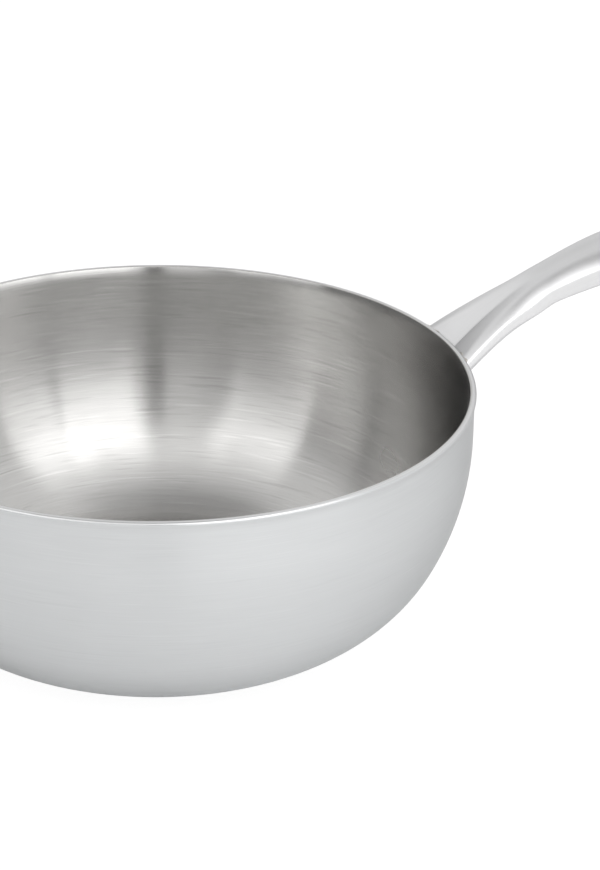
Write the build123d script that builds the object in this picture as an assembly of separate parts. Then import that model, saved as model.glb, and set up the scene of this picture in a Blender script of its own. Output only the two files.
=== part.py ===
from build123d import *
import math
import os

# A saucier pan: a clad bowl with one long hollow handle welded to its wall. Sizes are millimetres.
# The origin is the middle of the flat base, on the surface that the pan stands on.
# +Z is up, and the handle leaves the bowl along +X.

# The clad sheet, from the cooking face outwards
cooking_ply_thickness = 0.5
upper_bond_thickness = 0.3
core_thickness = 1.0
lower_bond_thickness = 0.3
outer_ply_thickness = 0.5

# The bowl's outer face: a flat base, three tangent bends that open upwards, a straight wall and a flared rim
mouth_radius = 120.0
base_bend_radius = 30.0
base_bend_angle = 24.0
lower_bend_radius = 61.2
lower_bend_angle = 63.4
upper_bend_radius = 104.2
upright_angle = 90.0
straight_wall_height = 12.7
flare_radius = 9.3
flare_height = 4.7
rim_inner_round = 0.5
rim_outer_round = 1.0

# The handle's line, seen from the side: a bend that flattens as it leaves the bowl, then a straight grip
crest_below_rim = 1.3
root_slope = 37.3
grip_slope = 14.0
handle_bend_radius = 194.0

# Distances along the handle's line, from the wall
flare_distance = 25.0
neck_distance = 46.0
grip_distance = 82.0
end_distance = 190.0
hidden_root_length = 16.0

# Half of the handle's width at those distances
root_half_width = 19.4
flare_half_width = 14.0
neck_half_width = 11.5
grip_half_width = 14.3
end_half_width = 12.8

# How far the valley along the top lies under its two crests
root_dish = 4.4
flare_dish = 2.8
neck_dish = 1.1
grip_dish = 0.9
end_dish = 0.5

# The upright stretch of each side, between the two rounded corners
root_side = 1.0
flare_side = 2.6
neck_side = 4.6
grip_side = 6.6
end_side = 4.4

# How far the rounded underside hangs below its two lower corners
root_keel = 7.6
flare_keel = 4.8
neck_keel = 2.6
grip_keel = 3.6
end_keel = 1.6

# The crest's radius as a share of the largest that fits, and its distance in from the corner as a share
root_crest_share = 0.11
flare_crest_share = 0.18
neck_crest_share = 0.5
grip_crest_share = 0.55
end_crest_share = 0.55
root_inset_share = 0.02
flare_inset_share = 0.12
neck_inset_share = 0.3
grip_inset_share = 0.3
end_inset_share = 0.3

# The pressed handle shells and the welds
shell_thickness = 1.0
upper_inside_bend = 0.6
lower_inside_bend = 0.7
seam_weld_height = 0.5
foot_thickness = 2.0
root_weld_size = 0.8
nugget_radius = 2.2
nugget_in_ply = 0.25
nugget_in_foot = 1.2
nugget_spacing = 8.0
nugget_count = 4

# The hanging hole
hole_radius = 5.0
sleeve_thickness = 1.2

# The length by which every cutting solid runs past what it cuts
overrun = 2.0

stations_count = 15
quarter_turn = 90.0
half_turn = 180.0

sheet_thickness = (
    cooking_ply_thickness + upper_bond_thickness + core_thickness
    + lower_bond_thickness + outer_ply_thickness
)
shoulder_radius = shell_thickness + upper_inside_bend
corner_radius = shell_thickness + lower_inside_bend
flare_centre_share = flare_height / (flare_radius + sheet_thickness)
mouth_flare = (flare_radius + sheet_thickness) * (1 - math.sqrt(1 - flare_centre_share ** 2))
wall_radius = mouth_radius - mouth_flare + sheet_thickness


def outward(angle):
    """The outward normal of the bowl's face where it slopes up by angle, as (radial, height)."""
    turn = math.radians(angle)
    return math.sin(turn), -math.cos(turn)


def moved(point, direction, distance):
    return point[0] + direction[0] * distance, point[1] + direction[1] * distance


def bend_centres():
    """Centres of the base, lower and upper bends and of the flare, as (radial, height)."""
    first = outward(base_bend_angle)
    second = outward(lower_bend_angle)
    base = (0.0, base_bend_radius)
    lower = moved(base, first, base_bend_radius - lower_bend_radius)
    upper = moved(lower, second, lower_bend_radius - upper_bend_radius)
    shift = wall_radius - upper_bend_radius - upper[0]
    bends = [(centre[0] + shift, centre[1]) for centre in (base, lower, upper)]
    flare = (wall_radius + flare_radius, upper[1] + straight_wall_height)
    return bends + [flare]


base_centre, lower_centre, upper_centre, flare_centre = bend_centres()
rim_height = flare_centre[1] + flare_height


def on_axis_plane(point):
    return point[0], 0, point[1]


def bend_arc(centre, radius, start, finish):
    """An arc of the bowl's section, from where it slopes up by start to where it slopes up by finish."""
    angles = (start, (start + finish) / 2, finish)
    points = [on_axis_plane(moved(centre, outward(angle), radius)) for angle in angles]
    return Edge.make_three_point_arc(*points)


def flare_arc(depth, height):
    """The flare of the line that lies depth inside the outer face, up to height above the flare's start."""
    radius = flare_radius + depth
    finish = math.asin(height / radius)
    points = []
    for angle in (0, finish / 2, finish):
        place = moved(flare_centre, (-math.cos(angle), math.sin(angle)), radius)
        points.append(on_axis_plane(place))
    return Edge.make_three_point_arc(*points)


def bowl_line(depth, height):
    """The bowl's section line that lies depth inside its outer face, from the axis to height in the flare."""
    base = bend_arc(base_centre, base_bend_radius - depth, 0, base_bend_angle)
    lower = bend_arc(lower_centre, lower_bend_radius - depth, base_bend_angle, lower_bend_angle)
    upper = bend_arc(upper_centre, upper_bend_radius - depth, lower_bend_angle, upright_angle)
    flare = flare_arc(depth, height)
    floor = Edge.make_line((0, 0, depth), base @ 0)
    wall = Edge.make_line(upper @ 1, flare @ 0)
    return [floor, base, lower, upper, wall, flare]


def band(outer_depth, inner_depth, height):
    """The section of a layer of the bowl between two depths."""
    outer = bowl_line(outer_depth, height)
    inner = bowl_line(inner_depth, height)
    top = Edge.make_line(outer[-1] @ 1, inner[-1] @ 1)
    axis = Edge.make_line(outer[0] @ 0, inner[0] @ 0)
    return Face(Wire(outer + [top] + inner + [axis]))


def sheet_section():
    """The whole clad sheet's section, with its two rim edges rounded."""
    section = band(0, sheet_thickness, flare_height)
    top = section.vertices().sort_by(Axis.Z)[-2:]
    inner, outer = top.sort_by(Axis.X)
    section = section.fillet_2d(rim_inner_round, [inner])
    outer = section.vertices().sort_by_distance(outer.center())[0]
    return section.fillet_2d(rim_outer_round, [outer])


def spun(section):
    return revolve(section, Axis.Z, 2 * half_turn)


def make_plies():
    """The five layers of the clad bowl, each cut to the rounded rim."""
    names = ("outer_ply", "lower_bond_ply", "core_ply", "upper_bond_ply", "cooking_ply")
    thicknesses = (
        outer_ply_thickness, lower_bond_thickness, core_thickness,
        upper_bond_thickness, cooking_ply_thickness,
    )
    whole = sheet_section()
    plies = {}
    depth = 0
    for name, thickness in zip(names, thicknesses):
        layer = band(depth, depth + thickness, flare_height + overrun)
        plies[name] = spun(whole & layer)
        depth = depth + thickness
    return plies


def bowl_envelope(growth):
    """Everything inside the bowl's outer face grown by growth, filled and carried up past the rim."""
    line = bowl_line(-growth, flare_height)
    rim = line[-1] @ 1
    lid_height = rim_height + overrun
    side = Edge.make_line(rim, (rim.X, 0, lid_height))
    lid = Edge.make_line((rim.X, 0, lid_height), (0, 0, lid_height))
    axis = Edge.make_line((0, 0, lid_height), line[0] @ 0)
    return spun(Face(Wire(line + [side, lid, axis])))


# The handle

station_distances = (0, flare_distance, neck_distance, grip_distance, end_distance)
half_widths = (root_half_width, flare_half_width, neck_half_width, grip_half_width, end_half_width)
dishes = (root_dish, flare_dish, neck_dish, grip_dish, end_dish)
sides = (root_side, flare_side, neck_side, grip_side, end_side)
keels = (root_keel, flare_keel, neck_keel, grip_keel, end_keel)
crest_shares = (
    root_crest_share, flare_crest_share, neck_crest_share, grip_crest_share, end_crest_share,
)
inset_shares = (
    root_inset_share, flare_inset_share, neck_inset_share, grip_inset_share, end_inset_share,
)


def eased(values, distance):
    """A smooth value at distance, through the values given at the handle's stations, with no overshoot."""
    places = station_distances
    rises = [
        (values[i + 1] - values[i]) / (places[i + 1] - places[i])
        for i in range(len(places) - 1)
    ]
    slopes = [rises[0]]
    for before, after in zip(rises, rises[1:]):
        agree = before * after > 0
        slopes.append(2 * before * after / (before + after) if agree else 0)
    slopes.append(rises[-1])
    if distance <= places[0]:
        return values[0] + slopes[0] * (distance - places[0])
    i = max(k for k in range(len(places) - 1) if places[k] <= distance)
    step = places[i + 1] - places[i]
    t = (distance - places[i]) / step
    start = values[i] * (1 + 2 * t) * (1 - t) ** 2 + slopes[i] * step * t * (1 - t) ** 2
    finish = values[i + 1] * t ** 2 * (3 - 2 * t) + slopes[i + 1] * step * t ** 2 * (t - 1)
    return start + finish


def handle_plane(distance):
    """The plane square to the handle's line at distance: its x is +Y, and its y points up out of the top."""
    first = math.radians(root_slope)
    last = math.radians(grip_slope)
    bent = min(distance, handle_bend_radius * (first - last))
    slope = first - bent / handle_bend_radius
    straight = distance - bent
    across = handle_bend_radius * (math.sin(first) - math.sin(slope)) + straight * math.cos(slope)
    up = handle_bend_radius * (math.cos(slope) - math.cos(first)) + straight * math.sin(slope)
    start = (wall_radius + across, 0, rim_height - crest_below_rim + up)
    return Plane(origin=start, x_dir=(0, 1, 0), z_dir=(math.cos(slope), 0, math.sin(slope)))


class Section:
    """The handle's outline at one distance, with its faces moved in by inset. The crests touch y = 0."""

    def __init__(self, distance, inset):
        self.width = eased(half_widths, distance)
        self.dish = eased(dishes, distance)
        self.inset = inset
        reach = self.width - shoulder_radius
        self.crest_x = reach * (1 - eased(inset_shares, distance))
        largest = (self.crest_x ** 2 + self.dish ** 2) / (2 * self.dish)
        self.crest_radius = shoulder_radius + (largest - shoulder_radius) * eased(crest_shares, distance)
        drop = math.atan2(self.dish - self.crest_radius, self.crest_x)
        span = math.hypot(self.crest_x, self.dish - self.crest_radius)
        self.facet = drop + math.asin(self.crest_radius / span)
        self.lean = math.asin((reach - self.crest_x) / (self.crest_radius - shoulder_radius))
        self.shoulder_y = (self.crest_radius - shoulder_radius) * math.cos(self.lean) - self.crest_radius
        self.corner_y = self.shoulder_y - eased(sides, distance)
        keel = eased(keels, distance)
        arm = self.width - corner_radius
        hang = keel + corner_radius
        self.belly_radius = (arm ** 2 + hang ** 2 - corner_radius ** 2) / (2 * keel)
        self.belly_y = self.corner_y - hang + self.belly_radius
        self.belly_angle = math.atan2(arm, self.belly_y - self.corner_y)

    def half_points(self):
        """The points of one half, from the valley to the keel, with a middle point for each arc."""
        inset = self.inset
        crest = self.crest_radius - inset
        shoulder = shoulder_radius - inset
        corner = corner_radius - inset
        belly = self.belly_radius - inset
        arm_upper = self.width - shoulder_radius
        arm_lower = self.width - corner_radius

        def around(x, y, radius, angle):
            return x + radius * math.sin(angle), y + radius * math.cos(angle)

        turn = math.pi / 2
        low = math.pi - self.belly_angle
        return {
            "valley": (0, -self.dish - inset / math.cos(self.facet)),
            "facet": around(self.crest_x, -self.crest_radius, crest, -self.facet),
            "crest": around(self.crest_x, -self.crest_radius, crest, (self.lean - self.facet) / 2),
            "shoulder": around(arm_upper, self.shoulder_y, shoulder, self.lean),
            "shoulder_mid": around(arm_upper, self.shoulder_y, shoulder, (self.lean + turn) / 2),
            "side_top": around(arm_upper, self.shoulder_y, shoulder, turn),
            "side_foot": around(arm_lower, self.corner_y, corner, turn),
            "corner_mid": around(arm_lower, self.corner_y, corner, (turn + low) / 2),
            "belly": around(0, self.belly_y, belly, low),
            "belly_mid": around(0, self.belly_y, belly, (low + math.pi) / 2),
            "keel": (0, self.belly_y - belly),
        }

    def side_edges(self, sign):
        """The edges of one half from the valley down to where the belly starts."""
        at = {name: (sign * x, y) for name, (x, y) in self.half_points().items()}
        return at, [
            Edge.make_line(at["valley"], at["facet"]),
            Edge.make_three_point_arc(at["facet"], at["crest"], at["shoulder"]),
            Edge.make_three_point_arc(at["shoulder"], at["shoulder_mid"], at["side_top"]),
            Edge.make_line(at["side_top"], at["side_foot"]),
            Edge.make_three_point_arc(at["side_foot"], at["corner_mid"], at["belly"]),
        ]

    def outline(self):
        right_at, right = self.side_edges(1)
        left_at, left = self.side_edges(-1)
        belly = Edge.make_three_point_arc(right_at["belly"], right_at["keel"], left_at["belly"])
        return Wire(right + [belly] + left)

    def half_face(self):
        at, edges = self.side_edges(1)
        belly = Edge.make_three_point_arc(at["belly"], at["belly_mid"], at["keel"])
        axis = Edge.make_line(at["keel"], at["valley"])
        return Face(Wire(edges + [belly, axis]))


def handle_distances():
    """Where the handle's outline is drawn, from inside the bowl to the centre of its round tip."""
    step = (end_distance + hidden_root_length) / (stations_count - 1)
    return [i * step - hidden_root_length for i in range(stations_count)]


def handle_body(inset):
    """The handle as one solid, with every face moved in by inset, from inside the bowl to its round tip."""
    wires = []
    for distance in handle_distances():
        wires.append(handle_plane(distance) * Section(distance, inset).outline())
    stem = Solid.make_loft(wires)
    end = handle_plane(end_distance)
    half = end * Section(end_distance, inset).half_face()
    tip = revolve(half, Axis(end.origin, end.y_dir), -half_turn)
    return stem + tip


def seam_strip(distance, low, high):
    """A wide strip across the handle that meets its sides at the seam and sags between its two shells."""
    outline = Section(distance, 0)
    seam = (outline.shoulder_y + outline.corner_y) / 2
    sag = (outline.belly_y - outline.belly_radius - outline.dish) / 2
    knee = outline.width - shoulder_radius
    wide = 2 * (root_half_width + overrun)
    line = [(-wide, seam), (-knee, seam), (0, sag), (knee, seam), (wide, seam)]
    lower = [(x, y + low) for x, y in line]
    upper = [(x, y + high) for x, y in reversed(line)]
    return Wire.make_polygon(lower + upper)


def seam_slab(low, high):
    """A wide slab that follows the handle's seam, from low to high above it, and runs on past the tip."""
    wires = [handle_plane(distance) * seam_strip(distance, low, high) for distance in handle_distances()]
    end = handle_plane(end_distance)
    last = Face(end * seam_strip(end_distance, low, high))
    return Solid.make_loft(wires) + extrude(last, amount=2 * grip_half_width, dir=end.z_dir)


def hole_bar(radius):
    """A round bar through the centre of the handle's tip, square to its top."""
    end = handle_plane(end_distance)
    reach = end_half_width + grip_side + root_keel
    return Plane(origin=end.origin, z_dir=end.y_dir) * Cylinder(radius, 2 * reach)


def make_handle(envelope):
    """The two pressed shells, the seam weld between them, the foot that closes the root, and the sleeve."""
    outside = handle_body(0)
    inside = handle_body(shell_thickness)
    foot_face = bowl_envelope(foot_thickness)
    skin = outside - inside - foot_face - hole_bar(hole_radius + sleeve_thickness)
    tall = root_keel + grip_side + 2 * shoulder_radius + root_dish + overrun
    half_seam = seam_weld_height / 2
    foot = (outside & foot_face) - envelope
    sleeve = (hole_bar(hole_radius + sleeve_thickness) - hole_bar(hole_radius)) & outside
    return {
        "handle_upper_shell": skin & seam_slab(half_seam, tall),
        "handle_seam_weld": skin & seam_slab(-half_seam, half_seam),
        "handle_lower_shell": skin & seam_slab(-tall, -half_seam),
        "handle_foot": foot,
        "hang_hole_sleeve": sleeve,
    }


def make_root_weld(envelope):
    """The bead that runs round the handle's root where it meets the bowl's wall, up to the rim's rounded edge."""
    collar = handle_body(-root_weld_size) & bowl_envelope(root_weld_size)
    above = Plane.XY.offset(rim_height - rim_outer_round) * Cylinder(
        2 * wall_radius, rim_outer_round + 2 * overrun, align=(Align.CENTER, Align.CENTER, Align.MIN)
    )
    return collar - envelope - handle_body(0) - above


def nugget_bars():
    """The resistance-weld nuggets that tie the foot to the outer ply, half way up it, as one group."""
    plane = handle_plane(0)
    outline = Section(0, 0)
    bars = []
    for i in range(nugget_count):
        across = (i - (nugget_count - 1) / 2) * nugget_spacing
        top = -outline.dish * (1 - abs(across) / outline.crest_x)
        bottom = outline.belly_y - math.sqrt(outline.belly_radius ** 2 - across ** 2)
        set_back = wall_radius - math.sqrt(wall_radius ** 2 - across ** 2)
        rise = (top + bottom) / 2 - set_back * plane.z_dir.Z
        height = plane.origin.Z + rise / plane.z_dir.X
        turn = math.degrees(math.asin(across / wall_radius))
        place = Rotation(0, 0, turn) * Location((wall_radius - nugget_in_ply, 0, height))
        bars.append(place * Rotation(0, quarter_turn, 0) * Cylinder(
            nugget_radius, nugget_in_ply + nugget_in_foot, align=(Align.CENTER, Align.CENTER, Align.MIN)
        ))
    return Compound(children=bars)


def build():
    envelope = bowl_envelope(0)
    pieces = make_plies()
    pieces.update(make_handle(envelope))
    pieces["root_weld"] = make_root_weld(envelope)
    nuggets = nugget_bars()
    for bar in nuggets.solids():
        pieces["outer_ply"] = pieces["outer_ply"] - bar
        pieces["handle_foot"] = pieces["handle_foot"] - bar
    pieces["weld_nuggets"] = nuggets
    return pieces


os.makedirs("parts", exist_ok=True)
for name, piece in build().items():
    export_step(piece, os.path.join("parts", name + ".step"))
print("rim height", round(rim_height, 2), "wall radius", round(wall_radius, 2))
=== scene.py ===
# %% [markdown]
# # A clad saucier pan
#
# A saucier is a deep pan whose sides curve into the base, so that a whisk reaches every corner. This one
# is pressed from a sheet of five bonded layers, and its long handle is folded from two thin steel shells.
#
# The sizes are already settled in the CAD model. We load that model as a fixed frame and dress it with
# smooth meshes, brushed metal and studio light. Everything is in metres, with the origin in the middle of
# the base.

import math

import bpy
from mathutils import Matrix, Vector


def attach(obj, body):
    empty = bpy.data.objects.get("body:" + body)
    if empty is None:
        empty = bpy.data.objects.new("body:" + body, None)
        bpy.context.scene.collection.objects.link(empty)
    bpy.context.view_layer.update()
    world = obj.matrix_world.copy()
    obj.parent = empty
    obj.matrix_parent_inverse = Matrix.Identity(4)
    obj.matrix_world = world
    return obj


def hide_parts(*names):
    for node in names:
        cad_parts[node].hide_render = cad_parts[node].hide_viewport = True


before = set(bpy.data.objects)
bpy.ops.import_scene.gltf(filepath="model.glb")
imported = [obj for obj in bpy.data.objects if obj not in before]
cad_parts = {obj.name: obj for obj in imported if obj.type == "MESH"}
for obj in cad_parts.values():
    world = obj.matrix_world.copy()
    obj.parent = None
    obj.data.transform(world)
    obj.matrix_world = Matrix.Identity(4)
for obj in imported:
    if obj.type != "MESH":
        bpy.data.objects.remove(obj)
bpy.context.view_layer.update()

# %% [markdown]
# ## The camera
#
# The photograph was taken from a little over a metre away, looking down at about 25 degrees, with the
# handle pointing away to the right. Its place was worked out from the ellipse that the round rim makes in
# the picture. A long lens at a distance keeps the ellipse nearly symmetrical, as it is in the photograph.
#
# We build the camera's three directions first, then step back along its line of sight. The middle of the
# picture is not the middle of the rim, so the camera is also moved a little sideways and down.

# %% Place the camera
rim_height = 0.095156
camera_distance = 1.2
camera_elevation = math.radians(24.783)
camera_turn = math.radians(22.0)
camera_roll = math.radians(0.82)
camera_sideways = 0.05481
camera_down = 0.01959
focal_length = 129.3
sensor_size = 36.0

level_forward = Vector((math.sin(camera_turn), math.cos(camera_turn), 0))
right = Vector((math.cos(camera_turn), -math.sin(camera_turn), 0))
upright = Vector((0, 0, 1))
forward = level_forward * math.cos(camera_elevation) - upright * math.sin(camera_elevation)
up = level_forward * math.sin(camera_elevation) + upright * math.cos(camera_elevation)

camera_data = bpy.data.cameras.new("studio_camera")
camera_data.lens = focal_length
camera_data.sensor_width = sensor_size
camera = bpy.data.objects.new("studio_camera", camera_data)
bpy.context.scene.collection.objects.link(camera)
turned = Matrix((right, up, -forward)).transposed() @ Matrix.Rotation(camera_roll, 3, "Z")
place = Vector((0, 0, rim_height)) + right * camera_sideways - up * camera_down - forward * camera_distance
camera.matrix_world = Matrix.Translation(place) @ turned.to_4x4()
bpy.context.scene.camera = camera
print("camera at", [round(value, 3) for value in place])

# %% [markdown]
# ## The section of the bowl
#
# The bowl is spun, so one line is enough to describe it: the section from the middle of the base to the
# rim. It is a flat base, three bends that open upwards, a short straight wall and a small flare that lets
# the pan pour cleanly. Each bend starts where the last one ended and in the same direction, so there is
# no crease.
#
# A layer that lies deeper in the sheet has the same centres and a different radius. One function can then
# give the line for every layer, which is how the layers of real clad sheet nest.

# %% The bends of the bowl
sheet_thickness = 0.0026
mouth_radius = 0.120
base_bend_radius = 0.030
base_bend_angle = math.radians(24.0)
lower_bend_radius = 0.0612
lower_bend_angle = math.radians(63.4)
upper_bend_radius = 0.1042
upright_angle = math.radians(90.0)
straight_wall_height = 0.0127
flare_radius = 0.0093
flare_height = 0.0047
rim_inner_round = 0.0005
rim_outer_round = 0.0010


def along(centre, radius, angle):
    """The point at radius from centre where a bowl's face slopes up by angle, as (radial, height)."""
    return centre[0] + radius * math.sin(angle), centre[1] - radius * math.cos(angle)


flare_inside = flare_radius + sheet_thickness
mouth_flare = flare_inside - math.sqrt(flare_inside ** 2 - flare_height ** 2)
wall_radius = mouth_radius - mouth_flare + sheet_thickness
base_centre = (0.0, base_bend_radius)
lower_centre = along(base_centre, base_bend_radius - lower_bend_radius, base_bend_angle)
upper_centre = along(lower_centre, lower_bend_radius - upper_bend_radius, lower_bend_angle)
flat_radius = wall_radius - upper_bend_radius - upper_centre[0]
base_centre = (flat_radius, base_centre[1])
lower_centre = (flat_radius + lower_centre[0], lower_centre[1])
upper_centre = (flat_radius + upper_centre[0], upper_centre[1])
flare_centre = (wall_radius + flare_radius, upper_centre[1] + straight_wall_height)
print("flat base radius", round(flat_radius, 4), "rim height", round(flare_centre[1] + flare_height, 4))


# %% [markdown]
# The rim is cut flat and its two edges are rounded, the outer one more than the inner one, so that the
# pan does not scratch what it touches. We walk along that rounded outline from the outside to the inside,
# and note how deep in the sheet each point lies. A layer then takes the stretch of rim between its own
# two depths.

# %% The rounded rim
def rim_outline():
    """Points along the rounded rim from the outer face to the inner face, as (radial, height)."""
    top = flare_centre[1] + flare_height
    points = []
    for round_radius, reach, steps, first, last in (
        (rim_outer_round, flare_radius + rim_outer_round, 14, -1, 90),
        (rim_inner_round, flare_inside - rim_inner_round, 10, 90, 180),
    ):
        rise = flare_height - round_radius
        centre_x = flare_centre[0] - math.sqrt(reach ** 2 - rise ** 2)
        tangent = math.degrees(math.asin(rise / reach))
        start = -tangent if first < 0 else first
        finish = last if first < 0 else last - tangent
        for i in range(steps + 1):
            angle = math.radians(start + (finish - start) * i / steps)
            x = centre_x + round_radius * math.cos(angle)
            points.append((x, top - round_radius + round_radius * math.sin(angle)))
    return points


def depth_at(point):
    """How deep in the sheet a point of the flare lies, measured from the outer face."""
    return math.dist(point, flare_centre) - flare_radius


def rim_between(outer_depth, inner_depth):
    """The stretch of the rounded rim that belongs to the layer between two depths."""
    outline = rim_outline()
    points = []
    for before, after in zip(outline, outline[1:]):
        low, high = depth_at(before), depth_at(after)
        if outer_depth <= low <= inner_depth:
            points.append(before)
        for depth in (outer_depth, inner_depth):
            if low < depth < high:
                share = (depth - low) / (high - low)
                points.append(tuple(a + (b - a) * share for a, b in zip(before, after)))
    if depth_at(outline[-1]) <= inner_depth:
        points.append(outline[-1])
    return points


print("rim points", len(rim_outline()), "highest", round(max(point[1] for point in rim_outline()), 5))


# %% [markdown]
# ## Spinning the five layers
#
# A spinner presses the sheet over a turning form, and Blender's Spin does the same with a line. We start
# from one vertex, extrude it along the section, and spin the line round the upright axis in 240 steps.
# The steps are small because polished metal shows every flat spot in its reflections.
#
# Doubles are merged where the line met the axis and where the spin closed. Spin can leave the shape
# inside out, so the normals are recalculated after that.

# %% A helper that draws a line and spins it
spin_steps = 240
merge_distance = 0.000002


def deselect_all():
    if bpy.context.object and bpy.context.object.mode != "OBJECT":
        bpy.ops.object.mode_set(mode="OBJECT")
    bpy.ops.object.select_all(action="DESELECT")


def draw_line(name, points):
    """Starts a mesh with one vertex and extrudes it through points, as (x, z). Leaves it in edit mode."""
    deselect_all()
    start = (points[0][0], 0, points[0][1])
    bpy.ops.mesh.primitive_plane_add(size=0.001, enter_editmode=True, location=start)
    bpy.ops.mesh.merge(type="CENTER")
    for before, after in zip(points, points[1:]):
        step = (after[0] - before[0], 0, after[1] - before[1])
        bpy.ops.mesh.extrude_region_move(TRANSFORM_OT_translate={"value": step})
    bpy.context.object.name = name
    return bpy.context.object


def spin_round(piece):
    """Spins the line round the upright axis and closes it into a solid."""
    bpy.ops.mesh.select_all(action="SELECT")
    bpy.ops.mesh.spin(steps=spin_steps, angle=2 * math.pi, center=(0, 0, 0), axis=(0, 0, 1))
    bpy.ops.mesh.select_all(action="SELECT")
    bpy.ops.mesh.remove_doubles(threshold=merge_distance)
    bpy.ops.mesh.normals_make_consistent(inside=False)
    finish_piece(piece)
    return piece


def finish_piece(piece, smooth_angle=30.0):
    """Leaves edit mode, puts the piece's place in its mesh and smooths it, apart from its true corners."""
    bpy.ops.object.mode_set(mode="OBJECT")
    bpy.ops.object.transform_apply(location=True, rotation=True, scale=True)
    bpy.ops.object.shade_smooth_by_angle(angle=math.radians(smooth_angle))
    piece.data.name = piece.name
    print(piece.name, len(piece.data.polygons), "faces")


# %% Draw and spin each layer
def arc(centre, radius, start, finish, steps):
    return [along(centre, radius, start + (finish - start) * i / steps) for i in range(1, steps + 1)]


def layer_line(depth):
    """The section line at depth, from the middle of the base up to the start of the flare."""
    points = [(flat_radius * share, depth) for share in (0, 0.05, 0.25, 0.5, 0.75, 1)]
    points += arc(base_centre, base_bend_radius - depth, 0, base_bend_angle, 8)
    points += arc(lower_centre, lower_bend_radius - depth, base_bend_angle, lower_bend_angle, 14)
    points += arc(upper_centre, upper_bend_radius - depth, lower_bend_angle, upright_angle, 14)
    points.append((points[-1][0], flare_centre[1]))
    return points


def flare_line(depth, end, steps=5):
    """The flare's line at depth, from just past its start to end, a point of the rounded rim."""
    radius = flare_radius + depth
    finish = math.asin((end[1] - flare_centre[1]) / radius)
    points = []
    for i in range(1, steps):
        angle = finish * i / steps
        inward = radius * math.cos(angle)
        points.append((flare_centre[0] - inward, flare_centre[1] + radius * math.sin(angle)))
    return points


def make_layer(name, outer_depth, inner_depth):
    """One layer of the clad sheet as a closed solid between two depths."""
    rim = rim_between(outer_depth, inner_depth)
    outside = layer_line(outer_depth) + flare_line(outer_depth, rim[0])
    inside = layer_line(inner_depth) + flare_line(inner_depth, rim[-1])
    return spin_round(draw_line(name, outside + rim + inside[::-1]))


layer_depths = {
    "outer_ply": (0, 0.0005),
    "lower_bond_ply": (0.0005, 0.0008),
    "core_ply": (0.0008, 0.0018),
    "upper_bond_ply": (0.0018, 0.0021),
    "cooking_ply": (0.0021, 0.0026),
}
layers = {node: make_layer("smooth_" + node, *depths) for node, depths in layer_depths.items()}

# %% [markdown]
# ## The handle
#
# The handle is two pressed steel shells, welded along their edges and ground smooth. Seen from the side
# it is a bend that flattens into a straight grip. Cut across, its top is a valley at the root and nearly
# flat further out, with a broad rounded shoulder on each side. The sides are upright, and the underside
# is a full belly for the fingers.
#
# All of those sizes change along the handle. A shape like that is hard to pull by hand and easy to write
# down: we give each size at five places, let a smooth curve run through them, and lay a grid on the
# result.

# %% Sizes along the handle
crest_below_rim = 0.0013
root_slope = math.radians(37.3)
grip_slope = math.radians(14.0)
handle_bend_radius = 0.194
stations = (0, 0.025, 0.046, 0.082, 0.190)
half_widths = (0.0194, 0.0140, 0.0115, 0.0143, 0.01275)
dishes = (0.0040, 0.0018, 0.0004, 0.0004, 0.0006)
sides = (0.0010, 0.0025, 0.0041, 0.0057, 0.0045)
seam_rises = (0.0005, 0.0013, 0.0023, 0.0033, 0.0022)
lifts = (0.0002, 0.0007, 0.0013, 0.0016, 0.0001)
keels = (0.0076, 0.0048, 0.0026, 0.0036, 0.0016)
crest_shares = (0.14, 0.348, 0.31, 0.40, 0.06)
inset_shares = (0.10, 0.331, 0.545, 0.61, 0.15)
valley_rounds = (0.0004, 0.0009, 0.0016, 0.0022, 0.0022)
end_distance = stations[-1]
shell_thickness = 0.0010
shoulder_radius = 0.0016
corner_radius = 0.0017
seam_half_height = 0.00025


def eased(values, distance):
    """A smooth value at distance, through the values given at the handle's stations, with no overshoot."""
    rises = [
        (values[i + 1] - values[i]) / (stations[i + 1] - stations[i])
        for i in range(len(stations) - 1)
    ]
    slopes = [rises[0]]
    for before, after in zip(rises, rises[1:]):
        agree = before * after > 0
        slopes.append(2 * before * after / (before + after) if agree else 0)
    slopes.append(rises[-1])
    if distance <= stations[0]:
        return values[0] + slopes[0] * (distance - stations[0])
    i = max(k for k in range(len(stations) - 1) if stations[k] <= distance)
    step = stations[i + 1] - stations[i]
    t = (distance - stations[i]) / step
    start = values[i] * (1 + 2 * t) * (1 - t) ** 2 + slopes[i] * step * t * (1 - t) ** 2
    finish = values[i + 1] * t ** 2 * (3 - 2 * t) + slopes[i + 1] * step * t ** 2 * (t - 1)
    return start + finish


print("half width at 80 mm", round(eased(half_widths, 0.080), 5))


# %% The handle's line
def handle_frame(distance):
    """The point on the handle's line at distance from the wall, with its directions along and up."""
    bent = min(distance, handle_bend_radius * (root_slope - grip_slope))
    slope = root_slope - bent / handle_bend_radius
    straight = distance - bent
    across = handle_bend_radius * (math.sin(root_slope) - math.sin(slope)) + straight * math.cos(slope)
    rise = handle_bend_radius * (math.cos(slope) - math.cos(root_slope)) + straight * math.sin(slope)
    start = Vector((wall_radius + across, 0, flare_centre[1] + flare_height - crest_below_rim + rise))
    line_along = Vector((math.cos(slope), 0, math.sin(slope)))
    line_up = Vector((-math.sin(slope), 0, math.cos(slope)))
    return start, line_along, line_up


end_point, end_along, end_up = handle_frame(end_distance)
print("tip centre", [round(value, 4) for value in end_point])


# %% [markdown]
# Each half of the section is a valley, a facet, a broad crest, a shoulder, an upright side, a tight
# corner and the belly. The valley is crisp at the root, where the metal is pinched, and softer along the
# grip. The two shells meet in the side, a little above its lower corner, with the thin ground weld
# between them. A small lift raises the whole section above the handle's line.

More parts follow.
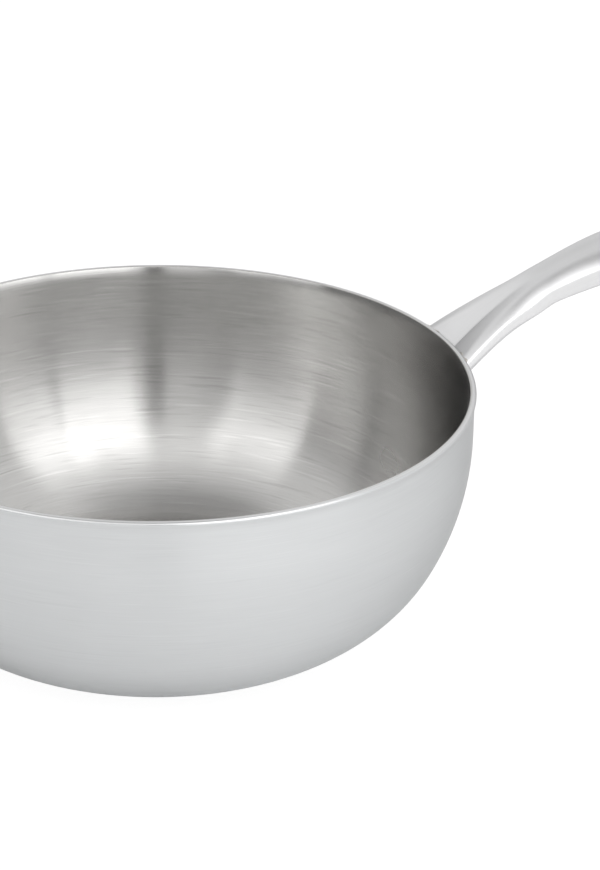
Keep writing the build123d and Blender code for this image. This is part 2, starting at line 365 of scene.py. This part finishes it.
# %% One half of the handle's section
def arc_points(x, y, radius, first, last, steps):
    """Points on an arc. The angles run clockwise from straight up."""
    points = []
    for i in range(steps + 1):
        angle = first + (last - first) * i / steps
        points.append((x + radius * math.sin(angle), y + radius * math.cos(angle)))
    return points


def half_section(distance):
    """The points (across, up) of the section: the top down to the seam, and the seam to the keel."""
    width = eased(half_widths, distance)
    dish = eased(dishes, distance)
    reach = width - shoulder_radius
    crest_x = reach * (1 - eased(inset_shares, distance))
    largest = (crest_x ** 2 + dish ** 2) / (2 * dish)
    crest = shoulder_radius + (largest - shoulder_radius) * eased(crest_shares, distance)
    facet = math.atan2(dish - crest, crest_x) + math.asin(crest / math.hypot(crest_x, dish - crest))
    lean = math.asin((reach - crest_x) / (crest - shoulder_radius))
    shoulder_y = (crest - shoulder_radius) * math.cos(lean) - crest
    corner_y = shoulder_y - eased(sides, distance)
    keel = eased(keels, distance)
    arm = width - corner_radius
    hang = keel + corner_radius
    belly = (arm ** 2 + hang ** 2 - corner_radius ** 2) / (2 * keel)
    belly_y = corner_y - hang + belly
    low = math.pi - math.atan2(arm, belly_y - corner_y)
    seam = corner_y + eased(seam_rises, distance)

    facet_end = (crest_x - crest * math.sin(facet), crest * math.cos(facet) - crest)
    soft = min(eased(valley_rounds, distance), 0.8 * facet_end[0])
    slope = (facet_end[1] + dish) / facet_end[0]
    top = [(soft * t, -dish + slope * soft * (1 + t * t) / 2) for t in (0, 0.33, 0.67, 1)]
    top += [
        (soft + (facet_end[0] - soft) * t, -dish + slope * (soft + (facet_end[0] - soft) * t))
        for t in (0.25, 0.5, 0.75)
    ]
    top += arc_points(crest_x, -crest, crest, -facet, lean, 12)
    top += arc_points(reach, shoulder_y, shoulder_radius, lean, math.pi / 2, 8)[1:]
    top.append((width, seam + seam_half_height))
    bottom = [(width, seam - seam_half_height)]
    bottom += arc_points(arm, corner_y, corner_radius, math.pi / 2, low, 8)
    bottom += arc_points(0, belly_y, belly, low, math.pi, 12)[1:]
    lift = eased(lifts, distance)
    return [(x, y + lift) for x, y in top], [(x, y + lift) for x, y in bottom]


top_half, bottom_half = half_section(0)
print("points of half a section", len(top_half), "above the seam,", len(bottom_half), "below it")


# %% [markdown]
# The root has to end on the bowl, and the bowl is round. Each lengthwise line of the grid is therefore
# run back until it touches the outer face of the wall, and the rows are spread from there to the tip. At
# the tip the last section is swung round its middle, which gives the rounded end.
#
# Only one side is laid out. A Mirror modifier makes the other side and joins the two along the middle,
# and a Solidify modifier then gives the sheet its thickness, inwards from the face that we drew.

# %% Lay a grid over one side of a shell
rows_along = 90
rows_round_tip = 14


def wall_face(height):
    """The radius of the bowl's outer face at height, above the lower bend."""
    if height > flare_centre[1]:
        rise = min(height - flare_centre[1], flare_height)
        return flare_centre[0] - math.sqrt(flare_radius ** 2 - rise ** 2)
    drop = max(upper_centre[1] - height, 0)
    return upper_centre[0] + math.sqrt(upper_bend_radius ** 2 - drop ** 2)


def shell_point(distance, line_of, index):
    """Point number index of a shell's line at distance."""
    origin, _, out = handle_frame(distance)
    x, y = line_of(distance)[index]
    return origin + Vector((0, x, 0)) + out * y


def start_of(line_of, index):
    """The distance at which a lengthwise line leaves the wall, found by halving."""
    low, high = -0.015, 0.008
    for _ in range(22):
        middle = (low + high) / 2
        point = shell_point(middle, line_of, index)
        inside = math.hypot(point.x, point.y) < wall_face(point.z)
        low, high = (middle, high) if inside else (low, middle)
    return high


def tip_point(line_of, index, turn):
    """A point of the last section, swung round the middle of the tip by turn."""
    x, y = line_of(end_distance)[index]
    return end_point + Vector((0, x * math.cos(turn), 0)) + end_along * x * math.sin(turn) + end_up * y


def apply_modifier(piece, kind, **settings):
    """Adds a modifier with the given settings and applies it at once."""
    bpy.context.view_layer.objects.active = piece
    modifier = piece.modifiers.new(kind.lower(), kind)
    for setting, value in settings.items():
        setattr(modifier, setting, value)
    bpy.ops.object.modifier_apply(modifier=modifier.name)


def lay_sheet(name, line_of, outward_is_up):
    """A sheet along the whole handle, through the line that line_of gives at each distance."""
    across = len(line_of(0))
    rows = rows_along + rows_round_tip
    deselect_all()
    bpy.ops.mesh.primitive_grid_add(x_subdivisions=rows, y_subdivisions=across - 1, size=1)
    piece = bpy.context.object
    piece.name = name
    starts = [start_of(line_of, index) for index in range(across)]
    for vertex in piece.data.vertices:
        row = round((vertex.co.x + 0.5) * rows)
        index = round((vertex.co.y + 0.5) * (across - 1))
        if row <= rows_along:
            distance = starts[index] + (end_distance - starts[index]) * row / rows_along
            vertex.co = shell_point(distance, line_of, index)
        else:
            vertex.co = tip_point(line_of, index, math.pi / 2 * (row - rows_along) / rows_round_tip)
    bpy.ops.object.mode_set(mode="EDIT")
    bpy.ops.mesh.select_all(action="SELECT")
    bpy.ops.mesh.remove_doubles(threshold=merge_distance)
    if not outward_is_up:
        bpy.ops.mesh.flip_normals()
    bpy.ops.object.mode_set(mode="OBJECT")
    apply_modifier(piece, "MIRROR", use_axis=(False, True, False), merge_threshold=merge_distance)
    apply_modifier(piece, "SOLIDIFY", thickness=shell_thickness, offset=-1, use_even_offset=True)
    return piece


def top_line(distance):
    return half_section(distance)[0]


def bottom_line(distance):
    return half_section(distance)[1][::-1]


def seam_line(distance):
    top, bottom = half_section(distance)
    return [top[-1], bottom[0]]


upper_shell = lay_sheet("smooth_upper_shell", top_line, True)
lower_shell = lay_sheet("smooth_lower_shell", bottom_line, False)
seam_weld = lay_sheet("smooth_seam_weld", seam_line, True)
print("grid rows", rows_along + rows_round_tip)

# %% [markdown]
# The hanging hole goes through both shells, and a short sleeve lines it so that no thin edge shows. The
# hole is cut as a drill would cut it: with a Boolean modifier and a cylinder square to the tip.

# %% Drill the hanging hole
hole_radius = 0.0050
sleeve_thickness = 0.0012


def drill(piece, radius):
    deselect_all()
    bpy.ops.mesh.primitive_cylinder_add(vertices=96, radius=radius, depth=0.06)
    cutter = bpy.context.object
    lean = end_up.to_track_quat("Z", "Y").to_matrix().to_4x4()
    cutter.matrix_world = Matrix.Translation(end_point) @ lean
    bpy.ops.object.transform_apply(location=True, rotation=True, scale=True)
    apply_modifier(piece, "BOOLEAN", operation="DIFFERENCE", solver="EXACT", object=cutter)
    bpy.data.objects.remove(cutter)


for shell in (upper_shell, lower_shell):
    drill(shell, hole_radius + sleeve_thickness)
for piece in (upper_shell, lower_shell, seam_weld):
    deselect_all()
    piece.select_set(True)
    bpy.context.view_layer.objects.active = piece
    finish_piece(piece)

# %% [markdown]
# The sleeve, the bead round the root and the foot behind it already have the right shape in the CAD
# model. Their meshes are loose triangles, which catch the light like a cut stone. A copy of each is
# merged and smoothed, and the copy stands in for the node.

# %% Smooth copies of the small CAD pieces
def smooth_copy(node, smooth_angle=35.0):
    deselect_all()
    piece = bpy.data.objects.new("smooth_" + node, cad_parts[node].data.copy())
    bpy.context.scene.collection.objects.link(piece)
    piece.data.materials.clear()
    piece.select_set(True)
    bpy.context.view_layer.objects.active = piece
    bpy.ops.object.mode_set(mode="EDIT")
    bpy.ops.mesh.select_all(action="SELECT")
    bpy.ops.mesh.remove_doubles(threshold=merge_distance)
    bpy.ops.mesh.tris_convert_to_quads(face_threshold=math.radians(5), shape_threshold=math.radians(60))
    finish_piece(piece, smooth_angle)
    return piece


def shrink(piece, shares):
    """Makes a piece smaller about its own middle."""
    corners = [Vector(corner) for corner in piece.bound_box]
    deselect_all()
    piece.select_set(True)
    bpy.context.view_layer.objects.active = piece
    bpy.ops.object.mode_set(mode="EDIT")
    bpy.ops.mesh.select_all(action="SELECT")
    bpy.ops.transform.resize(value=shares, center_override=(corners[0] + corners[6]) / 2)
    bpy.ops.object.mode_set(mode="OBJECT")


root_weld = smooth_copy("root_weld")
sleeve = smooth_copy("hang_hole_sleeve")
foot = smooth_copy("handle_foot")
shrink(foot, (1, 0.93, 0.86))

# %% Say what each piece stands for
stand_for = {
    "outer_ply": (layers["outer_ply"], "outside_steel"),
    "lower_bond_ply": (layers["lower_bond_ply"], "bond_alloy"),
    "core_ply": (layers["core_ply"], "core_aluminium"),
    "upper_bond_ply": (layers["upper_bond_ply"], "bond_alloy"),
    "cooking_ply": (layers["cooking_ply"], "cooking_steel"),
    "handle_upper_shell": (upper_shell, "handle_steel"),
    "handle_lower_shell": (lower_shell, "handle_steel"),
    "handle_seam_weld": (seam_weld, "handle_steel"),
    "handle_foot": (foot, "foot_steel"),
    "hang_hole_sleeve": (sleeve, "sleeve_steel"),
    "root_weld": (root_weld, "weld_steel"),
}
for node, (piece, finish) in stand_for.items():
    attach(piece, "root")
    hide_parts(node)
print("pieces that stand for CAD nodes", len(stand_for))

# %% [markdown]
# ## Brushed steel
#
# Brushed steel is smooth steel with countless fine parallel scratches, and two things make it look
# brushed. Reflections smear across the scratches and stay sharp along them. Single deeper scratches show
# as short strokes.
#
# The smear comes from the shader's Anisotropic value and a Tangent node, which says which way the
# scratches run. The strokes are a noise pattern that changes fast across the scratches and slowly along
# them. Several finishes need that pattern, so it becomes a node group, and each finish sets the group's
# values for itself.

# %% Helpers for node trees
def add_node(tree, kind, inputs=None, **settings):
    """Adds a node, sets its properties, and gives each named input a value or a link."""
    node = tree.nodes.new(kind)
    for setting, value in settings.items():
        setattr(node, setting, value)
    for socket, value in (inputs or {}).items():
        if isinstance(value, bpy.types.NodeSocket):
            tree.links.new(value, node.inputs[socket])
        else:
            node.inputs[socket].default_value = value
    return node


def calculate(tree, operation, *values):
    inputs = dict(enumerate(values))
    return add_node(tree, "ShaderNodeMath", inputs, operation=operation).outputs["Value"]


def remap(tree, value, low, high, to_low=0.0, to_high=1.0, easing="LINEAR"):
    """Maps a value from one range to another, clamped at both ends."""
    inputs = {"Value": value, "From Min": low, "From Max": high, "To Min": to_low, "To Max": to_high}
    return add_node(tree, "ShaderNodeMapRange", inputs, interpolation_type=easing).outputs["Result"]


def mix_colours(tree, factor, first, second):
    inputs = {"Factor": factor, 6: (*first, 1), 7: (*second, 1)}
    return add_node(tree, "ShaderNodeMix", inputs, data_type="RGBA").outputs[2]


def new_group(name, inputs, outputs):
    """A node group with its named sockets. Gives back the tree, its given values and its results."""
    group = bpy.data.node_groups.new(name, "ShaderNodeTree")
    for socket, value in inputs.items():
        kind = "NodeSocketVector" if value is None else "NodeSocketFloat"
        made = group.interface.new_socket(socket, in_out="INPUT", socket_type=kind)
        if value is not None:
            made.default_value = value
    for socket in outputs:
        group.interface.new_socket(socket, in_out="OUTPUT", socket_type="NodeSocketFloat")
    given = group.nodes.new("NodeGroupInput").outputs
    results = group.nodes.new("NodeGroupOutput").inputs
    return group, given, results


def stretched_noise(tree, place, along_size, across_size, depth=0.0, detail=2.0):
    """A noise with its own size along and across the scratches. The third direction counts as across."""
    parts = add_node(tree, "ShaderNodeSeparateXYZ", {"Vector": place}).outputs
    scaled = add_node(tree, "ShaderNodeCombineXYZ", {
        "X": calculate(tree, "DIVIDE", parts["X"], along_size),
        "Y": calculate(tree, "DIVIDE", parts["Y"], along_size),
        "Z": calculate(tree, "DIVIDE", parts["Z"], across_size),
    })
    inputs = {
        "Vector": scaled.outputs["Vector"], "W": depth,
        "Scale": 1.0, "Detail": detail, "Roughness": 0.6,
    }
    return add_node(tree, "ShaderNodeTexNoise", inputs, noise_dimensions="4D").outputs["Fac"]


print("helpers ready")

# %% [markdown]
# The bowl was brushed while it turned, so its scratches are rings. The pattern reads the height and the
# distance from the upright axis in fine steps, and the place round the bowl in coarse ones. On the wall
# the height makes the rings, on the base the distance does, and in the bend they share the work. A fourth
# direction of the noise carries the distance, so the pattern has no seam.
#
# The group puts out three things: a tone for the colour, a height for the bump, and faint smudges for the
# roughness, where hands and cloths have been. The amounts of fine lines and of single strokes are inputs,
# because the outside of this pan is much smoother than the inside.

# %% The grain of a turned surface
def make_turned_grain():
    sockets = {
        "Place": None, "Line Spacing": 0.0004, "Line Amount": 0.3,
        "Stroke Length": 0.03, "Stroke Amount": 0.3,
    }
    group, given, results = new_group("turned_grain", sockets, ("Tone", "Height", "Smudge"))
    flat = add_node(group, "ShaderNodeVectorMath", {0: given["Place"], 1: (1, 1, 0)}, operation="MULTIPLY")
    reach = add_node(group, "ShaderNodeVectorMath", {0: flat.outputs[0]}, operation="LENGTH")
    radius = reach.outputs["Value"]

    def rings(spacing_share, length_share, detail):
        spacing = calculate(group, "MULTIPLY", given["Line Spacing"], spacing_share)
        length = calculate(group, "MULTIPLY", given["Stroke Length"], length_share)
        depth = calculate(group, "DIVIDE", radius, spacing)
        return stretched_noise(group, given["Place"], length, spacing, depth, detail)

    lines = remap(group, rings(1.0, 1.0, 3.0), 0.3, 0.7, -0.5, 0.5)
    bands = remap(group, rings(25.0, 2.0, 2.0), 0.3, 0.7, -0.3, 0.3)
    dark = remap(group, rings(2.5, 0.7, 1.0), 0.58, 0.74)
    pale = remap(group, rings(2.0, 0.9, 1.0), 0.40, 0.26)
    cloud = {"Vector": given["Place"], "Scale": 22.0, "Detail": 3.0}
    smudges = add_node(group, "ShaderNodeTexNoise", cloud)

    fine = calculate(group, "MULTIPLY", calculate(group, "ADD", lines, bands), given["Line Amount"])
    strokes = calculate(group, "MULTIPLY", calculate(group, "SUBTRACT", pale, dark), given["Stroke Amount"])
    tone = calculate(group, "ADD", calculate(group, "ADD", fine, strokes), 0.5)
    group.links.new(tone, results["Tone"])
    group.links.new(calculate(group, "ADD", fine, strokes), results["Height"])
    group.links.new(remap(group, smudges.outputs["Fac"], 0.1, 0.9), results["Smudge"])
    return group


turned_grain = make_turned_grain()
print("turned grain nodes", len(turned_grain.nodes))

# %% [markdown]
# The handle was brushed lengthwise on a belt, which follows its bend. Its pattern therefore reads the UV
# map of the grid that we laid, where the first direction runs from the root to the tip and the second one
# across.

# %% The grain of a belt-brushed surface
def make_belt_grain():
    sockets = {
        "Map": None, "Lines Across": 160.0, "Line Amount": 0.3,
        "Strokes Along": 5.0, "Stroke Amount": 0.2,
    }
    group, given, results = new_group("belt_grain", sockets, ("Tone", "Height", "Smudge"))
    parts = add_node(group, "ShaderNodeSeparateXYZ", {"Vector": given["Map"]}).outputs
    place = add_node(group, "ShaderNodeCombineXYZ", {"X": parts["X"], "Z": parts["Y"]}).outputs["Vector"]
    along_size = calculate(group, "DIVIDE", 1.0, given["Strokes Along"])
    across_size = calculate(group, "DIVIDE", 1.0, given["Lines Across"])
    narrow = stretched_noise(group, place, along_size, across_size, 0.0, 3.0)
    lines = remap(group, narrow, 0.3, 0.7, -0.5, 0.5)
    wide = calculate(group, "MULTIPLY", across_size, 3.0)
    scratches = remap(group, stretched_noise(group, place, along_size, wide, 5.0, 1.0), 0.58, 0.72)
    smudges = stretched_noise(group, place, 0.06, 0.25, 9.0, 2.0)

    fine = calculate(group, "MULTIPLY", lines, given["Line Amount"])
    strokes = calculate(group, "MULTIPLY", scratches, given["Stroke Amount"])
    height = calculate(group, "SUBTRACT", fine, strokes)
    group.links.new(calculate(group, "ADD", height, 0.5), results["Tone"])
    group.links.new(height, results["Height"])
    group.links.new(remap(group, smudges, 0.1, 0.9), results["Smudge"])
    return group


belt_grain = make_belt_grain()
print("belt grain nodes", len(belt_grain.nodes))

# %% [markdown]
# Every brushed finish is built the same way. The tone picks between a darker and a lighter steel, the
# smudges move the roughness, and the height goes through a Bump node to the normal. Each of the three is
# slight, because one strong effect would look painted on. The anisotropy is the same all over, so it is
# set on the shader itself.

# %% Build a brushed finish
edge_tint = (0.65, 0.65, 0.65, 1)


def new_metal(name, roughness, anisotropy=0.0):
    material = bpy.data.materials.new(name)
    material.use_nodes = True
    tree = material.node_tree
    shader = tree.nodes["Principled BSDF"]
    shader.inputs["Metallic"].default_value = 1
    shader.inputs["Roughness"].default_value = roughness
    shader.inputs["Anisotropic"].default_value = anisotropy
    shader.inputs["Specular Tint"].default_value = edge_tint
    return material, tree, shader


def brush(tree, shader, grain, colours, roughness, groove_depth):
    """Leads a grain's three results to the shader."""
    tree.links.new(mix_colours(tree, grain.outputs["Tone"], *colours), shader.inputs["Base Color"])
    rough = remap(tree, grain.outputs["Smudge"], 0, 1, roughness - 0.05, roughness + 0.05)
    tree.links.new(rough, shader.inputs["Roughness"])
    bump = add_node(tree, "ShaderNodeBump", {"Height": grain.outputs["Height"], "Distance": groove_depth})
    tree.links.new(bump.outputs["Normal"], shader.inputs["Normal"])


def grain_node(tree, group, inputs):
    node = tree.nodes.new("ShaderNodeGroup")
    node.node_tree = group
    for socket, value in inputs.items():
        if isinstance(value, bpy.types.NodeSocket):
            tree.links.new(value, node.inputs[socket])
        else:
            node.inputs[socket].default_value = value
    return node


def turned_steel(
    name, colours, roughness, anisotropy, groove_depth, line_spacing, line_amount, stroke_amount,
):
    """Steel brushed while it turned about the upright axis. The scratches run along the radial tangent."""
    material, tree, shader = new_metal(name, roughness, anisotropy)
    shader.inputs["Anisotropic Rotation"].default_value = 0.25
    tangent = add_node(tree, "ShaderNodeTangent", direction_type="RADIAL", axis="Z")
    tree.links.new(tangent.outputs["Tangent"], shader.inputs["Tangent"])
    grain = grain_node(tree, turned_grain, {
        "Place": add_node(tree, "ShaderNodeTexCoord").outputs["Object"],
        "Line Spacing": line_spacing, "Line Amount": line_amount, "Stroke Amount": stroke_amount,
    })
    brush(tree, shader, grain, colours, roughness, groove_depth)
    return material


def belt_steel(name, colours, roughness, anisotropy, groove_depth):
    """Steel brushed lengthwise, along the first direction of the piece's own map."""
    material, tree, shader = new_metal(name, roughness, anisotropy)
    shader.inputs["Anisotropic Rotation"].default_value = 0.25
    tangent = add_node(tree, "ShaderNodeTangent", direction_type="UV_MAP")
    tree.links.new(tangent.outputs["Tangent"], shader.inputs["Tangent"])
    grain = grain_node(tree, belt_grain, {"Map": add_node(tree, "ShaderNodeTexCoord").outputs["UV"]})
    brush(tree, shader, grain, colours, roughness, groove_depth)
    return material


outside_colours = (0.60, 0.61, 0.615), (0.71, 0.72, 0.725)
cooking_colours = (0.49, 0.485, 0.475), (0.61, 0.605, 0.595)
handle_colours = (0.68, 0.68, 0.685), (0.75, 0.75, 0.755)
alloy_colours = (0.60, 0.60, 0.60), (0.68, 0.68, 0.68)
aluminium_colours = (0.64, 0.64, 0.645), (0.73, 0.73, 0.735)
finishes = {
    "outside_steel": turned_steel("outside_steel", outside_colours, 0.36, 0.8, 0.000002, 0.0004, 0.2, 0.15),
    "cooking_steel": turned_steel("cooking_steel", cooking_colours, 0.25, 0.97, 0.000003, 0.0004, 0.4, 0.6),
    "handle_steel": belt_steel("handle_steel", handle_colours, 0.34, 0.8, 0.000003),
    "bond_alloy": turned_steel("bond_alloy", alloy_colours, 0.3, 0.6, 0.000002, 0.0003, 0.3, 0.2),
    "core_aluminium": turned_steel(
        "core_aluminium", aluminium_colours, 0.3, 0.6, 0.000002, 0.0003, 0.3, 0.2,
    ),
}
print("brushed finishes", len(finishes))

# %% [markdown]
# The bead round the root was left as it was welded and then brushed by hand. The heat has left a trace of
# straw colour in it, and its surface has the small waves of the pool that froze. The sleeve of the
# hanging hole is turned in a lathe, and its rings run round its own axis, which leans with the tip. The
# foot was brushed by hand, in short strokes.

# %% The weld, the sleeve and the foot
foot_brush_scale = 25


def weld_steel():
    material, tree, shader = new_metal("weld_steel", 0.34)
    place = add_node(tree, "ShaderNodeTexCoord").outputs["Object"]
    ripples = {"Vector": place, "Scale": 900.0, "Detail": 2.0}
    stains = {"Vector": place, "Scale": 160.0, "Detail": 2.0}
    waves = add_node(tree, "ShaderNodeTexNoise", ripples).outputs["Fac"]
    heat = add_node(tree, "ShaderNodeTexNoise", stains).outputs["Fac"]
    tint = mix_colours(tree, remap(tree, heat, 0.35, 0.7), (0.60, 0.60, 0.60), (0.60, 0.54, 0.44))
    tree.links.new(tint, shader.inputs["Base Color"])
    tree.links.new(remap(tree, waves, 0.3, 0.7, 0.28, 0.42), shader.inputs["Roughness"])
    bump = add_node(tree, "ShaderNodeBump", {"Height": waves, "Distance": 0.00006})
    tree.links.new(bump.outputs["Normal"], shader.inputs["Normal"])
    return material


def sleeve_steel():
    """The turned grain, read round the sleeve's own leaning axis."""
    material, tree, shader = new_metal("sleeve_steel", 0.3)
    place = add_node(tree, "ShaderNodeMapping", {
        "Vector": add_node(tree, "ShaderNodeTexCoord").outputs["Object"],
        "Location": end_point, "Rotation": end_up.to_track_quat("Z", "Y").to_euler(),
    }, vector_type="TEXTURE").outputs["Vector"]
    grain = grain_node(tree, turned_grain, {
        "Place": place, "Line Spacing": 0.0001, "Line Amount": 0.3,
        "Stroke Length": 0.004, "Stroke Amount": 0.2,
    })
    brush(tree, shader, grain, handle_colours, 0.3, 0.000003)
    return material


def foot_steel():
    """Strokes of a hand-held brush. The grain is read from the object's own place, in runs of 40 mm."""
    material, tree, shader = new_metal("foot_steel", 0.34)
    place = add_node(tree, "ShaderNodeVectorMath", {
        0: add_node(tree, "ShaderNodeTexCoord").outputs["Object"], 1: [foot_brush_scale] * 3,
    }, operation="MULTIPLY").outputs[0]
    brush(tree, shader, grain_node(tree, belt_grain, {"Map": place}), handle_colours, 0.34, 0.000003)
    return material


finishes["weld_steel"] = weld_steel()
finishes["sleeve_steel"] = sleeve_steel()
finishes["foot_steel"] = foot_steel()
for node, (piece, finish) in stand_for.items():
    piece.data.materials.append(finishes[finish])
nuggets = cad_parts["weld_nuggets"]
for slot in nuggets.material_slots:
    slot.material = finishes["weld_steel"]
print("finishes", len(finishes))

# %% [markdown]
# ## Floor and light
#
# A steel pan shows little of itself and much of the studio. Two softboxes stand side by side to the right
# of the camera, with a narrow gap between them. One stands to the left, and one hangs above, towards the
# camera. The walls are pale. Three places are dark: a patch of the ceiling behind the pan, the side of
# the room to the left of the camera, and a narrow upright strip beside the camera, where its stand is.
# Without them the inside of the bowl would have no depth.
#
# The floor is pale and wide. What the camera sees of it is lifted nearly to white, and a little of the
# real shading is kept, so that the pan still stands on a faint shadow. The floor lies half a millimetre
# under the base and is clear from below, so that the underside can be looked at.

# %% The floor
floor_drop = 0.0005


def studio_floor():
    deselect_all()
    bpy.ops.mesh.primitive_plane_add(size=12, location=(0, 0, -floor_drop))
    floor = bpy.context.object
    floor.name = "studio_floor"
    paint = bpy.data.materials.new("studio_white")
    paint.use_nodes = True
    tree = paint.node_tree
    shader = tree.nodes["Principled BSDF"]
    shader.inputs["Base Color"].default_value = (0.9, 0.9, 0.9, 1)
    shader.inputs["Roughness"].default_value = 0.9
    path = add_node(tree, "ShaderNodeLightPath").outputs
    glossy = calculate(tree, "MULTIPLY", path["Is Glossy Ray"], 0.1)
    lift = calculate(tree, "MULTIPLY_ADD", path["Is Camera Ray"], 0.85, glossy)
    white = {"Color": (1, 1, 1, 1), "Strength": 1.1}
    glow = add_node(tree, "ShaderNodeEmission", white).outputs["Emission"]
    shares = {0: lift, 1: shader.outputs["BSDF"], 2: glow}
    mixed = add_node(tree, "ShaderNodeMixShader", shares).outputs["Shader"]
    under = add_node(tree, "ShaderNodeNewGeometry").outputs["Backfacing"]
    clear = tree.nodes.new("ShaderNodeBsdfTransparent").outputs["BSDF"]
    sided = add_node(tree, "ShaderNodeMixShader", {0: under, 1: mixed, 2: clear}).outputs["Shader"]
    tree.links.new(sided, tree.nodes["Material Output"].inputs["Surface"])
    floor.data.materials.append(paint)


studio_floor()


# %% The room
def toward(right_of_camera, elevation):
    """The direction to a place given in degrees to the right of the camera and above the floor."""
    turn = math.radians(right_of_camera)
    rise = math.radians(elevation)
    level = right * math.sin(turn) - level_forward * math.cos(turn)
    return level * math.cos(rise) + upright * math.sin(rise)


def shade(tree, direction, centre, inner_angle, outer_angle, level):
    """Falls from 1 to level near a centre direction, with a soft edge between two angles from it."""
    facing = add_node(tree, "ShaderNodeVectorMath", {0: direction, 1: centre}, operation="DOT_PRODUCT")
    outer = math.cos(math.radians(outer_angle))
    inner = math.cos(math.radians(inner_angle))
    return remap(tree, facing.outputs["Value"], outer, inner, 1.0, level, "SMOOTHSTEP")


def only_below(tree, height, shading, low_elevation, high_elevation):
    """Lets a shading fade out between two elevations."""
    low = math.sin(math.radians(low_elevation))
    high = math.sin(math.radians(high_elevation))
    share = remap(tree, height, low, high, 1.0, 0.0, "SMOOTHSTEP")
    return calculate(tree, "MULTIPLY_ADD", calculate(tree, "SUBTRACT", shading, 1.0), share, 1.0)


def light_room():
    world = bpy.data.worlds.new("studio")
    bpy.context.scene.world = world
    world.use_nodes = True
    tree = world.node_tree
    direction = add_node(tree, "ShaderNodeTexCoord").outputs["Generated"]
    height = add_node(tree, "ShaderNodeSeparateXYZ", {"Vector": direction}).outputs["Z"]
    level_part = {0: direction, 1: (1, 1, 0)}
    flat = add_node(tree, "ShaderNodeVectorMath", level_part, operation="MULTIPLY").outputs[0]
    flat = add_node(tree, "ShaderNodeVectorMath", {0: flat}, operation="NORMALIZE").outputs[0]

    ceiling = shade(tree, direction, toward(-162, 74), 10, 23, 0.28)
    dark_side = only_below(tree, height, shade(tree, flat, toward(-84, 0), 47, 77, 0.14), 24, 40)
    camera_stand = only_below(tree, height, shade(tree, flat, toward(4.0, 0), 2.3, 4.9, 0.03), 26, 37)
    level = calculate(tree, "MULTIPLY", calculate(tree, "MULTIPLY", ceiling, dark_side), camera_stand)
    seen = add_node(tree, "ShaderNodeLightPath").outputs["Is Camera Ray"]
    tree.links.new(calculate(tree, "MAXIMUM", level, seen), tree.nodes["Background"].inputs["Strength"])
    tree.nodes["Background"].inputs["Color"].default_value = (1, 1, 1, 1)


light_room()


# %% The softboxes
softbox_distance = 2.0


def softbox(name, right_of_camera, elevation, width, height, brightness):
    """An area lamp that faces the pan. Its brightness is 1 for the white of a picture."""
    lamp = bpy.data.lights.new(name, "AREA")
    lamp.shape = "RECTANGLE"
    lamp.size = width
    lamp.size_y = height
    lamp.energy = brightness * math.pi * width * height
    holder = bpy.data.objects.new(name, lamp)
    bpy.context.scene.collection.objects.link(holder)
    direction = toward(right_of_camera, elevation)
    holder.matrix_world = (
        Matrix.Translation(direction * softbox_distance + upright * rim_height / 2)
        @ direction.to_track_quat("Z", "Y").to_matrix().to_4x4()
    )
    print(name, "energy", round(lamp.energy, 1))


softbox("softbox_right", 28.5, 35, 1.07, 1.60, 1.18)
softbox("softbox_far_right", 60, 36, 0.83, 1.70, 1.22)
softbox("softbox_left", -46, 33, 1.24, 1.30, 1.12)
softbox("softbox_above", 3, 54, 1.8, 0.7, 0.60)
bpy.context.scene.view_settings.view_transform = "Standard"
